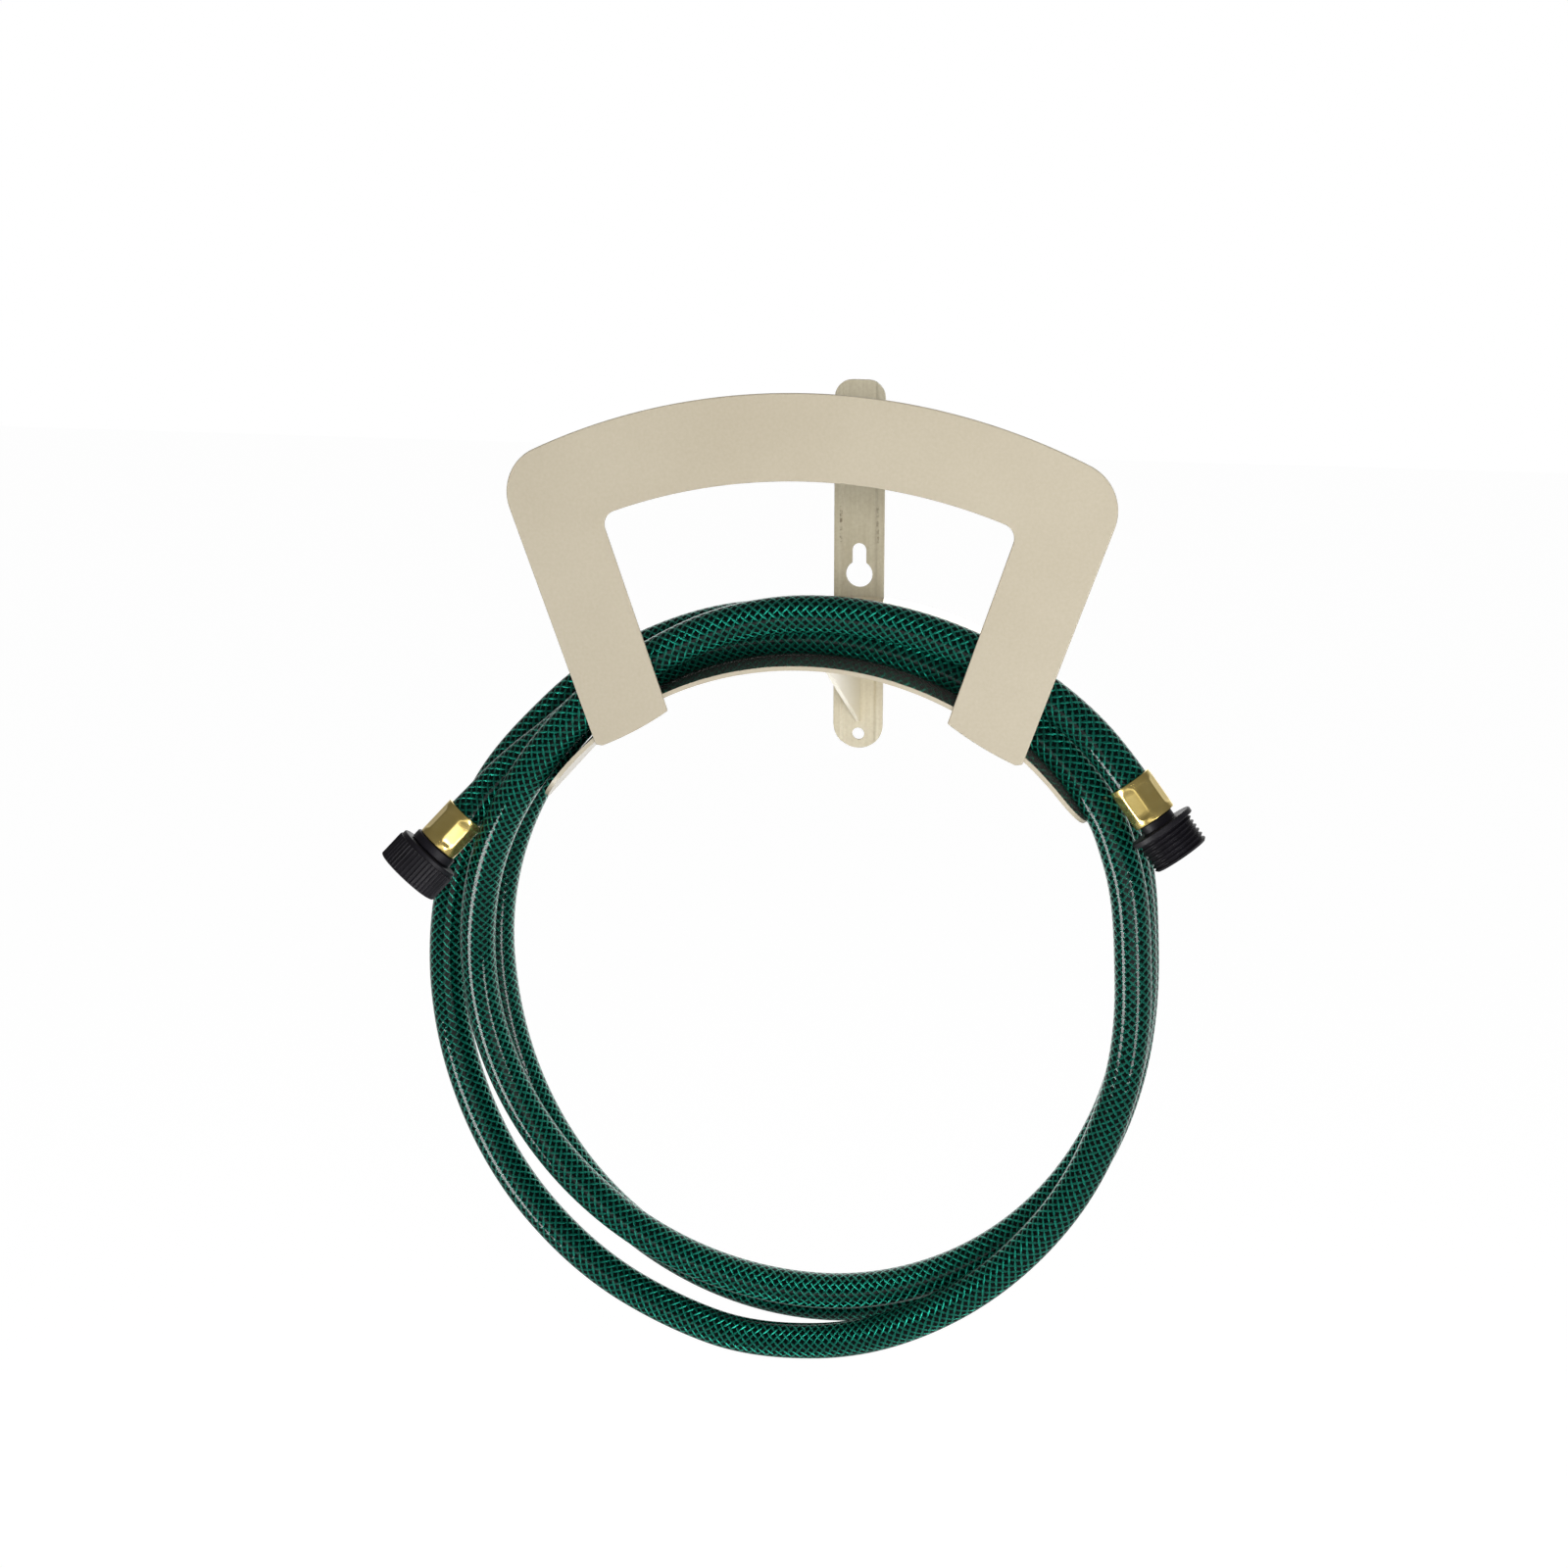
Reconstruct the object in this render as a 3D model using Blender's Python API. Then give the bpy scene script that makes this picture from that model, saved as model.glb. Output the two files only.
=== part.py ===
# Wall hanger for a garden hose, with the hose hung over it in three loose turns
#
# A pressed steel strap is screwed to the wall. A curved sheet, the saddle, stands out from it on a
# triangular brace, and an arched front plate on the saddle's front edge keeps the coil from slipping
# off. The hose is one length. Each end has a crimped brass ferrule over a barbed stem: one stem has
# a male thread, the other carries a swivelling nut with its washer.
#
# Frame: x to the right, y towards the wall, z up, in metres. The wall is the plane y = 0, and the
# origin is on the back of the strap, between the keyhole and the lower screw hole.

from math import atan2, cos, pi, radians, sin, sqrt

import bmesh
import bpy
import numpy as np
from mathutils import Matrix, Vector

MM = 0.001

# Clearances, and how far a cutter stands past what it cuts
SEAM = 0.3 * MM
RUNNING_GAP = 0.3 * MM
PAST = 0.5 * MM

# Wall strap
STRAP_WIDTH = 25.0 * MM
STRAP_SHEET = 2.0 * MM
STRAP_TOP = 161.1 * MM
STRAP_BOTTOM = -23.8 * MM
STRAP_TOP_CORNER = 8.5 * MM
STRAP_BAND = 15.6 * MM
STRAP_STEP = 0.9 * MM
STRAP_STEP_RUN = 1.2 * MM
STRAP_TRIM = 0.01 * MM
KEYHOLE_Z = 65.1 * MM
KEYHOLE_DIAMETER = 13.2 * MM
KEYHOLE_SLOT = 6.9 * MM
KEYHOLE_SLOT_RISE = 12.0 * MM
SCREW_HOLE_Z = -16.4 * MM
SCREW_HOLE_DIAMETER = 6.1 * MM

# Saddle
SADDLE_CENTRE_Z = -94.0 * MM
SADDLE_INNER_RADIUS = 146.4 * MM
SADDLE_SHEET = 2.0 * MM
SADDLE_HALF_ANGLE = radians(58.2)
SADDLE_DEPTH = 149.6 * MM
SADDLE_FRONT_CORNER = 20.0 * MM
SADDLE_BACK_CORNER = 8.0 * MM
SADDLE_BACK_Y = STRAP_SHEET + STRAP_STEP + SEAM
SADDLE_FRONT_Y = SADDLE_BACK_Y + SADDLE_DEPTH

# Brace under the saddle
BRACE_SHEET = 2.2 * MM
BRACE_FOOT_Z = -10.2 * MM
BRACE_REACH = 118.0 * MM
BRACE_TIP = 3.0 * MM

# Front plate
PLATE_SHEET = 1.5 * MM
PLATE_OUTER_RADIUS = 286.0 * MM
PLATE_OUTER_APEX = 176.7 * MM
PLATE_INNER_RADIUS = 246.0 * MM
PLATE_INNER_APEX = 137.9 * MM
PLATE_OUTER_CORNER = 22.0 * MM
PLATE_INNER_CORNER = 6.5 * MM
LEG_OUTER_X = 92.3 * MM
LEG_OUTER_LEAN = 0.3496
LEG_INNER_X = 53.0 * MM
LEG_INNER_LEAN = 0.334
FOOT_OUTER_Z = 12.6 * MM
FOOT_INNER_Z = 31.4 * MM
FOOT_BOW = 1.2 * MM
FOOT_CORNER = 1.6 * MM
FOOT_STEPS = 7

# Hose
HOSE_DIAMETER = 17.0 * MM
HOSE_BORE = 12.5 * MM
HOSE_SIDE_POINTS = 1
HOSE_POINTS_PER_TURN = 24

# Ferrules
FERRULE_LENGTH = 19.8 * MM
FERRULE_DIAMETER = 20.2 * MM
FERRULE_FLATS = 8
FERRULE_ACROSS_FLATS = 18.9 * MM
FERRULE_RIM = 2.2 * MM
FERRULE_BLEND = 2.0 * MM
FERRULE_CHAMFER = 0.5 * MM

# Barbed stems
STEM_BORE = 8.5 * MM
STEM_LENGTH = 18.3 * MM
STEM_ROOT_RADIUS = HOSE_BORE / 2 - SEAM - 0.7 * MM
BARB_RADIUS = HOSE_BORE / 2 - SEAM
BARB_COUNT = 3
BARB_PITCH = 5.8 * MM
BARB_RISE = 4.4 * MM
BARB_LAND = 0.6 * MM

# Male fitting
NECK_DIAMETER = 16.0 * MM
MALE_NECK = 3.8 * MM
MALE_FLANGE_DIAMETER = 30.4 * MM
MALE_FLANGE = 2.6 * MM
MALE_THREAD_DIAMETER = 26.9 * MM
MALE_THREAD = 13.9 * MM
THREAD_PITCH = 2.209 * MM
THREAD_DEPTH = 1.1 * MM
THREAD_RUNOUT = 1.2 * MM
RINGS_PER_PITCH = 8
MALE_MOUTH_DIAMETER = 18.0 * MM
MALE_MOUTH_DEPTH = 9.0 * MM
THREAD_CHAMFER = 1.0 * MM

# Female stem, its nut and washer
COLLAR_DIAMETER = 22.5 * MM
COLLAR = 4.3 * MM
NUT_DIAMETER = 32.5 * MM
NUT_LENGTH = 16.2 * MM
NUT_BACK = 3.0 * MM
NUT_BORE = 26.0 * MM
NUT_RIBS = 24
NUT_RIB_SHARE = 0.49
NUT_RIB_DEPTH = 0.8 * MM
NUT_SHOULDER = 2.2 * MM
NUT_SHOULDER_DROP = 0.7 * MM
NUT_CHAMFER = 0.6 * MM
SEAT_FLANGE_DIAMETER = 22.8 * MM
SEAT_FLANGE = 2.2 * MM
WASHER_DIAMETER = 25.2 * MM
WASHER_HOLE = 13.0 * MM
WASHER_THICKNESS = 3.0 * MM
NUT_START = FERRULE_LENGTH + SEAM + COLLAR + RUNNING_GAP
NUT_FLOOR = NUT_START + NUT_BACK
SEAT_FLANGE_START = NUT_FLOOR + RUNNING_GAP
WASHER_START = SEAT_FLANGE_START + SEAT_FLANGE + SEAM

# Where the hose lies on the saddle, from the arc's centre
SEAT_REACH = SADDLE_INNER_RADIUS + SADDLE_SHEET + SEAM + HOSE_DIAMETER / 2
ON_SADDLE = SEAT_REACH / MM

# The hand-laid coil, one row of stations a turn: angle in degrees from +x round the saddle's centre,
# reach from that centre and distance from the wall in millimetres. It starts at the male end.
TURNS = (
    (
        (34.95, 175.9, 146.2),
        (38, 175.5, 145.1),
        (43, 175.2, 144.1),
        (52, 174.2, 143.8),
        (67, 172.4, 143.8),
        (80, 171.2, 143.8),
        (92, 170.2, 143.8),
        (103, 168.0, 143.8),
        (116, 164.0, 144.0),
        (134, 160.4, 144.2),
        (146, 159.5, 143.2),
        (185, 163.6, 128.0),
        (270, 168.9, 125.0),
    ),
    (
        (3, 150.0, 123.6),
        (33, ON_SADDLE, 122.0),
        (60, ON_SADDLE, 116.6),
        (90, ON_SADDLE, 111.8),
        (140, ON_SADDLE, 107.6),
        (185, 159.8, 108.8),
        (270, 184.1, 107.0),
    ),
    (
        (3, 150.0, 105.8),
        (33, ON_SADDLE, 103.6),
        (60, ON_SADDLE, 98.4),
        (90, ON_SADDLE, 93.3),
        (110, 161.2, 91.5),
        (120, 163.4, 90.5),
        (135, 168.3, 93.0),
        (142, 170.3, 95.0),
        (156, 177.0, 98.0),
        (168, 181.5, 101.0),
        (185, 186.0, 107.0),
        (205, 191.0, 114.0),
        (225, 196.5, 119.0),
        (242, 199.3, 122.0),
        (255, 199.0, 125.5),
        (270, 193.0, 131.0),
        (290, 178.5, 139.8),
        (315, 163.0, 142.0),
        (340, 152.5, 142.0),
    ),
    (
        (3, 148.8, 141.8),
        (24, 154.6, 141.2),
        (33, ON_SADDLE, 140.2),
        (60, ON_SADDLE, 134.6),
        (90, ON_SADDLE, 129.8),
        (110, ON_SADDLE, 127.3),
        (125, ON_SADDLE, 126.0),
        (133, 159.8, 125.5),
        (140, 162.0, 125.2),
        (147, 167.0, 125.5),
        (152, 171.4, 126.9),
        (155.9, 175.0, 128.9),
        (158.6, 178.2, 131.8),
    ),
)

# How finely the curves are cut: points on an arc, steps along the saddle, sides of a turned piece
OUTER_CROWN_POINTS = 15
INNER_CROWN_POINTS = 13
LEG_CORNER_POINTS = 8
STRAP_END_POINTS = 17
STRAP_CORNER_POINTS = 7
HOLE_POINTS = 21
SLOT_END_POINTS = 9
SADDLE_HALF_STEPS = 18
SADDLE_CORNER_STEPS = 6
BORE_SIDES = 16
FITTING_SIDES = 32
POINTS_PER_FLAT = 6
POINTS_PER_RIB = 4

# Edges turning by more than these stay sharp
SHARP_FORM = radians(35)
SHARP_CRIMP = radians(25)
SHARP_TUBE = radians(70)

# Finishes: name, linear colour, roughness, metallic
STEEL = ("tan_steel", (0.560, 0.519, 0.420), 0.42, 0.0)
STRAP_STEEL = ("strap_steel", (0.540, 0.500, 0.370), 0.45, 0.0)
GREEN_HOSE = ("green_hose", (0.012, 0.110, 0.075), 0.25, 0.0)
BRASS = ("brass", (0.560, 0.420, 0.150), 0.25, 1.0)
BLACK_PLASTIC = ("black_plastic", (0.012, 0.011, 0.014), 0.40, 0.0)
RUBBER = ("washer_rubber", (0.020, 0.020, 0.020), 0.80, 0.0)


def material(finish):
    """The Principled material of that name, made once."""
    name, colour, roughness, metallic = finish
    made = bpy.data.materials.get(name)
    if made is None:
        made = bpy.data.materials.new(name)
        made.use_nodes = True
        shader = made.node_tree.nodes["Principled BSDF"]
        shader.inputs["Base Color"].default_value = (*colour, 1.0)
        shader.inputs["Roughness"].default_value = roughness
        shader.inputs["Metallic"].default_value = metallic
    return made


def make_object(name, bm, finish, frame=None, sharp_above=SHARP_FORM):
    """Turn a bmesh into a named object in its material, shaded smooth."""
    bmesh.ops.recalc_face_normals(bm, faces=bm.faces)
    mesh = bpy.data.meshes.new(name)
    bm.to_mesh(mesh)
    bm.free()
    mesh.shade_smooth()
    mesh.set_sharp_from_angle(angle=sharp_above)
    mesh.materials.append(material(finish))
    made = bpy.data.objects.new(name, mesh)
    bpy.context.collection.objects.link(made)
    if frame is not None:
        made.matrix_world = frame
    return made


def make_cutter(name, bm, frame=None):
    """A hidden solid that only cuts others."""
    cutter = make_object(name, bm, STEEL, frame)
    cutter.hide_render = True
    cutter.display_type = "WIRE"
    return cutter


def boolean(target, cutter, operation):
    """Cut the target by the cutter, or keep only what lies in both."""
    step = target.modifiers.new(cutter.name, "BOOLEAN")
    step.operation = operation
    step.solver = "EXACT"
    step.object = cutter


def arc(centre, radius, start, end, count):
    """Points on an arc, both ends included."""
    turn = [start + (end - start) * i / (count - 1) for i in range(count)]
    return [(centre[0] + radius * cos(a), centre[1] + radius * sin(a)) for a in turn]


def prism(outline, depth, place):
    """A closed outline pushed along one axis. place(u, v, w) gives the point in space."""
    bm = bmesh.new()
    base = bm.faces.new([bm.verts.new(place(u, v, 0.0)) for u, v in outline])
    pushed = bmesh.ops.extrude_face_region(bm, geom=[base])
    tops = [item for item in pushed["geom"] if isinstance(item, bmesh.types.BMVert)]
    shift = Vector(place(0.0, 0.0, depth)) - Vector(place(0.0, 0.0, 0.0))
    bmesh.ops.translate(bm, verts=tops, vec=shift)
    return bm


def rounded(corners, radius, count):
    """The square corners of a flat top, from right to left, rounded by quarter circles."""
    (right, top), (left, _) = corners
    first = arc((right - radius, top - radius), radius, 0.0, pi / 2, count)
    second = arc((left + radius, top - radius), radius, pi / 2, pi, count)
    return first + second


def leg_corner(apex, radius, leg_x, lean, fillet, count):
    """The stretch of outline where an arch meets a leg's edge on the right, rounded by a fillet.

    The points run from the crown down to the leg's edge."""
    centre = Vector((0.0, apex - radius))
    along = Vector((lean, 1.0)).normalized()
    inward = Vector((-along.y, along.x))
    start = Vector((leg_x, 0.0)) + inward * fillet - centre
    ahead = start.dot(along)
    reach = radius - fillet
    travel = -ahead + sqrt(ahead**2 - start.length_squared + reach**2)
    middle = start + along * travel
    turn_from = atan2(middle.y, middle.x)
    turn_to = atan2(-inward.y, -inward.x)
    crown = arc(centre, radius, pi / 2, turn_from, count)
    return crown[:-1] + arc(centre + middle, fillet, turn_from, turn_to, LEG_CORNER_POINTS)


def foot_edge():
    """The slightly bowed lower edge of the right leg, from its outer to its inner corner."""
    outer = Vector((LEG_OUTER_X + LEG_OUTER_LEAN * FOOT_OUTER_Z, FOOT_OUTER_Z))
    inner = Vector((LEG_INNER_X + LEG_INNER_LEAN * FOOT_INNER_Z, FOOT_INNER_Z))
    across = inner - outer
    down = Vector((-across.y, across.x)).normalized()
    points = [tuple(outer + Vector((LEG_OUTER_LEAN, 1.0)).normalized() * FOOT_CORNER)]
    for i in range(1, FOOT_STEPS):
        share = i / FOOT_STEPS
        bow = FOOT_BOW * 4 * share * (1 - share)
        points.append(tuple(outer + across * share + down * bow))
    points.append(tuple(inner))
    return points


def front_plate():
    """The arch and its two legs, one flat sheet."""
    outer_arch = (PLATE_OUTER_APEX, PLATE_OUTER_RADIUS)
    inner_arch = (PLATE_INNER_APEX, PLATE_INNER_RADIUS)
    outer = leg_corner(*outer_arch, LEG_OUTER_X, LEG_OUTER_LEAN, PLATE_OUTER_CORNER, OUTER_CROWN_POINTS)
    inner = leg_corner(*inner_arch, LEG_INNER_X, LEG_INNER_LEAN, PLATE_INNER_CORNER, INNER_CROWN_POINTS)
    right = outer + foot_edge() + inner[::-1]
    left = [(-x, z) for x, z in reversed(right)]
    outline = right[:-1] + left[:-1]
    back = -(SADDLE_FRONT_Y + SEAM)
    bm = prism(outline, PLATE_SHEET, lambda u, v, w: (u, back - w, v))
    return make_object("front_plate", bm, STEEL)


def saddle():
    """The curved sheet, lofted from station to station round the arc, with rounded corners."""
    middle_radius = SADDLE_INNER_RADIUS + SADDLE_SHEET / 2
    half_length = middle_radius * SADDLE_HALF_ANGLE
    plain = half_length - SADDLE_FRONT_CORNER
    stations = [plain * i / SADDLE_HALF_STEPS for i in range(-SADDLE_HALF_STEPS, SADDLE_HALF_STEPS + 1)]
    corner_turns = [radians(90) * (i + 1) / SADDLE_CORNER_STEPS for i in range(SADDLE_CORNER_STEPS)]
    past = [plain + SADDLE_FRONT_CORNER * sin(a) for a in corner_turns]
    stations = [-s for s in reversed(past)] + stations + past
    bm = bmesh.new()
    rings = []
    for s in stations:
        beyond = max(0.0, abs(s) - (half_length - SADDLE_FRONT_CORNER))
        front_cut = SADDLE_FRONT_CORNER - sqrt(max(0.0, SADDLE_FRONT_CORNER**2 - beyond**2))
        beyond = max(0.0, abs(s) - (half_length - SADDLE_BACK_CORNER))
        back_cut = SADDLE_BACK_CORNER - sqrt(max(0.0, SADDLE_BACK_CORNER**2 - beyond**2))
        back = -(SADDLE_BACK_Y + back_cut)
        front = -(SADDLE_FRONT_Y - front_cut)
        turn = s / middle_radius
        ring = []
        for radius, y in (
            (SADDLE_INNER_RADIUS, back),
            (SADDLE_INNER_RADIUS, front),
            (SADDLE_INNER_RADIUS + SADDLE_SHEET, front),
            (SADDLE_INNER_RADIUS + SADDLE_SHEET, back),
        ):
            ring.append(bm.verts.new((radius * sin(turn), y, SADDLE_CENTRE_Z + radius * cos(turn))))
        rings.append(ring)
    for first, second in zip(rings, rings[1:]):
        for i in range(4):
            bm.faces.new((first[i], first[i - 1], second[i - 1], second[i]))
    bm.faces.new(rings[0])
    bm.faces.new(rings[-1])
    return make_object("saddle", bm, STEEL)


def wall_strap():
    """The strap: a pressed section along its length, cut to the outline, with its two holes."""
    half = STRAP_WIDTH / 2
    band = STRAP_BAND / 2
    edge = band + STRAP_STEP_RUN
    section = [
        (-band, 0.0),
        (band, 0.0),
        (edge, STRAP_STEP),
        (half, STRAP_STEP),
        (half, STRAP_STEP + STRAP_SHEET),
        (edge, STRAP_STEP + STRAP_SHEET),
        (band, STRAP_SHEET),
        (-band, STRAP_SHEET),
        (-edge, STRAP_STEP + STRAP_SHEET),
        (-half, STRAP_STEP + STRAP_SHEET),
        (-half, STRAP_STEP),
        (-edge, STRAP_STEP),
    ]
    tall = prism(
        section,
        STRAP_TOP - STRAP_BOTTOM + 2 * PAST,
        lambda u, v, w: (u, -v, STRAP_BOTTOM - PAST + w),
    )
    strap = make_object("wall_strap", tall, STRAP_STEEL)

    # The outline stands in from the section's sides by a hair, so that no faces lie on each other
    side = half - STRAP_TRIM
    bottom = arc((0.0, STRAP_BOTTOM + half), side, pi, 2 * pi, STRAP_END_POINTS)
    top = rounded([(side, STRAP_TOP), (-side, STRAP_TOP)], STRAP_TOP_CORNER, STRAP_CORNER_POINTS)
    reach = STRAP_STEP + STRAP_SHEET + PAST
    outline = prism(bottom + top, 2 * reach, lambda u, v, w: (u, reach - w, v))
    boolean(strap, make_cutter("strap_outline", outline), "INTERSECT")

    slot = KEYHOLE_SLOT / 2
    round_radius = KEYHOLE_DIAMETER / 2
    meet = atan2(sqrt(round_radius**2 - slot**2), slot)
    lower = arc((0.0, KEYHOLE_Z), round_radius, pi - meet, 2 * pi + meet, HOLE_POINTS)
    upper = arc((0.0, KEYHOLE_Z + KEYHOLE_SLOT_RISE), slot, 0.0, pi, SLOT_END_POINTS)
    keyhole = prism(lower + upper, 2 * reach, lambda u, v, w: (u, reach - w, v))
    boolean(strap, make_cutter("keyhole_cut", keyhole), "DIFFERENCE")

    hole = arc((0.0, SCREW_HOLE_Z), SCREW_HOLE_DIAMETER / 2, 0.0, 2 * pi, HOLE_POINTS)[:-1]
    screw_hole = prism(hole, 2 * reach, lambda u, v, w: (u, reach - w, v))
    boolean(strap, make_cutter("screw_hole_cut", screw_hole), "DIFFERENCE")
    return strap


def saddle_brace():
    """The triangular web from the strap to the underside of the saddle."""
    back = STRAP_SHEET + SEAM
    top = SADDLE_CENTRE_Z + SADDLE_INNER_RADIUS - SEAM
    outline = [
        (back, BRACE_FOOT_Z),
        (back, top),
        (BRACE_REACH, top),
        (BRACE_REACH, top - BRACE_TIP),
    ]
    bm = prism(outline, BRACE_SHEET, lambda u, v, w: (w - BRACE_SHEET / 2, -u, v))
    return make_object("saddle_brace", bm, STEEL)


def slopes(places, values):
    """Slopes of a smooth curve through stations that never overshoots between them."""
    widths = np.diff(places)
    rises = np.diff(values) / widths
    found = np.zeros(len(places))
    found[0] = rises[0]
    found[-1] = rises[-1]
    for i in range(1, len(places) - 1):
        if rises[i - 1] * rises[i] > 0:
            first = 2 * widths[i] + widths[i - 1]
            second = widths[i] + 2 * widths[i - 1]
            found[i] = (first + second) / (first / rises[i - 1] + second / rises[i])
    return found


def smooth(places, values, at):
    """Values between the stations, on cubic pieces that share the slopes."""
    found = slopes(places, values)
    i = np.clip(np.searchsorted(places, at) - 1, 0, len(places) - 2)
    width = places[i + 1] - places[i]
    s = (at - places[i]) / width
    start = (1 + 2 * s) * (1 - s) ** 2 * values[i] + s * (1 - s) ** 2 * width * found[i]
    return start + s**2 * (3 - 2 * s) * values[i + 1] + s**2 * (s - 1) * width * found[i + 1]


def coil_stations():
    """All stations on one row: running angle, reach and distance from the wall."""
    rows = []
    for turn, stations in enumerate(TURNS):
        for angle, reach, depth in stations:
            rows.append((angle + 360 * turn, reach * MM, depth * MM))
    return np.array(rows).T


def coil_points(angles):
    """Centre line of the hose at the given running angles."""
    places, reaches, depths = coil_stations()
    reach = smooth(places, reaches, angles)
    depth = smooth(places, depths, angles)
    turn = np.radians(angles)
    return np.stack([reach * np.cos(turn), -depth, SADDLE_CENTRE_Z + reach * np.sin(turn)], axis=1)


def coil_ends():
    """Where the hose enters each ferrule and which way it points out: (male, female)."""
    first, last = coil_stations()[0][[0, -1]]
    step = 0.1
    male = coil_points(np.array([first, first + step]))
    female = coil_points(np.array([last, last - step]))
    ends = []
    for entry, inside in (male, female):
        ends.append((Vector(entry), Vector(entry - inside).normalized()))
    return ends


def hose_route():
    """Points of the hose from the male to the female end, with a straight run into each ferrule."""
    first, last = coil_stations()[0][[0, -1]]
    step = 360 / HOSE_POINTS_PER_TURN
    angles = np.arange(np.ceil(first / step + 0.25) * step, last - step / 4, step)
    between = coil_points(angles)
    # The chords between points cut inside the curve, so the points stand out by as much
    stand_out = 1 / cos(radians(step / 2))
    centre = np.array([0.0, 0.0, SADDLE_CENTRE_Z])
    between = centre + (between - centre) * [stand_out, 1.0, stand_out]
    (male, male_out), (female, female_out) = coil_ends()
    inside = FERRULE_LENGTH - SEAM
    ends = [male + male_out * inside, male], [female, female + female_out * inside]
    return [Vector(p) for p in ends[0]] + [Vector(p) for p in between] + [Vector(p) for p in ends[1]]


def least_gap():
    """Least gap between stretches of the hose that lie side by side, measured on its centre line."""
    first, last = coil_stations()[0][[0, -1]]
    points = coil_points(np.arange(first, last, 0.75))
    along = np.concatenate([[0.0], np.cumsum(np.linalg.norm(np.diff(points, axis=0), axis=1))])
    apart = np.linalg.norm(points[:, None] - points[None], axis=2)
    apart[np.abs(along[:, None] - along[None]) < 4 * HOSE_DIAMETER] = 1.0
    return apart.min() - HOSE_DIAMETER, along[-1]


def hose():
    """The hose as one tube, hung in its turns, bored where the stems enter."""
    route = hose_route()
    line = bpy.data.curves.new("hose_line", "CURVE")
    line.dimensions = "3D"
    line.bevel_depth = HOSE_DIAMETER / 2
    line.bevel_resolution = HOSE_SIDE_POINTS
    line.use_fill_caps = True
    spline = line.splines.new("POLY")
    spline.points.add(len(route) - 1)
    for point, place in zip(spline.points, route):
        point.co = (*place, 1.0)
    drawn = bpy.data.objects.new("hose_line", line)
    bpy.context.collection.objects.link(drawn)
    graph = bpy.context.evaluated_depsgraph_get()
    tube = bpy.data.meshes.new_from_object(drawn.evaluated_get(graph))
    bpy.data.objects.remove(drawn, do_unlink=True)
    bm = bmesh.new()
    bm.from_mesh(tube)
    bmesh.ops.remove_doubles(bm, verts=bm.verts, dist=0.01 * MM)
    made = make_object("hose", bm, GREEN_HOSE, sharp_above=SHARP_TUBE)
    for name, (entry, out) in zip(("male", "female"), coil_ends()):
        far = FERRULE_LENGTH + PAST
        profile = [(0.0, -SEAM), (HOSE_BORE / 2, -SEAM), (HOSE_BORE / 2, far), (0.0, far)]
        bore = turned(profile, BORE_SIDES)
        cutter = make_cutter(name + "_bore_cut", bore, along_axis(entry, out))
        boolean(made, cutter, "DIFFERENCE")
    gap, length = least_gap()
    print(f"hose: least gap to itself {gap / MM:.2f} mm, coil length {length:.3f} m")
    return made


def along_axis(origin, direction):
    """A frame at origin whose own z runs along the direction."""
    return Matrix.Translation(origin) @ direction.to_track_quat("Z", "Y").to_matrix().to_4x4()


def turned(profile, steps, shape=None):
    """A solid turned round z from a closed profile of (radius, height) points.

    shape(radius, height, turn) may move a point's radius, for flats and ribs."""
    bm = bmesh.new()
    rings = []
    for radius, height in profile:
        ring = []
        for k in range(1 if radius == 0.0 else steps):
            turn = 2 * pi * k / steps
            r = shape(radius, height, turn) if shape else radius
            ring.append(bm.verts.new((r * cos(turn), r * sin(turn), height)))
        rings.append(ring)
    for first, second in zip(rings, rings[1:] + rings[:1]):
        if len(first) == 1 and len(second) == 1:
            continue
        for k in range(steps):
            after = k + 1
            near = [first[k % len(first)], first[after % len(first)]]
            far = [second[after % len(second)], second[k % len(second)]]
            bm.faces.new(list(dict.fromkeys(near + far)))
    return bm


def ferrule(name, end):
    """A brass sleeve round the hose's end, crimped on flats between two round rims."""
    entry, out = end
    bore = HOSE_DIAMETER / 2 + SEAM
    land = FERRULE_DIAMETER / 2
    flat_start = FERRULE_RIM + FERRULE_BLEND
    flat_end = FERRULE_LENGTH - FERRULE_RIM - FERRULE_BLEND

    def crimped(radius, height, turn):
        if radius <= bore:
            return radius
        near = (height - FERRULE_RIM) / FERRULE_BLEND
        far = (FERRULE_LENGTH - FERRULE_RIM - height) / FERRULE_BLEND
        share = min(max(min(near, far), 0.0), 1.0)
        pitch = 2 * pi / FERRULE_FLATS
        off = (turn + pitch / 2) % pitch - pitch / 2
        flat = FERRULE_ACROSS_FLATS / 2 / cos(off)
        return radius - share * max(0.0, radius - flat)

    profile = [
        (bore, 0.0),
        (land - FERRULE_CHAMFER, 0.0),
        (land, FERRULE_CHAMFER),
        (land, FERRULE_RIM),
        (land, (FERRULE_RIM + flat_start) / 2),
        (land, flat_start),
        (land, flat_end),
        (land, (flat_end + FERRULE_LENGTH - FERRULE_RIM) / 2),
        (land, FERRULE_LENGTH - FERRULE_RIM),
        (land, FERRULE_LENGTH - FERRULE_CHAMFER),
        (land - FERRULE_CHAMFER, FERRULE_LENGTH),
        (bore, FERRULE_LENGTH),
    ]
    bm = turned(profile, POINTS_PER_FLAT * FERRULE_FLATS, crimped)
    return make_object(name, bm, BRASS, along_axis(entry, out), SHARP_CRIMP)


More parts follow.
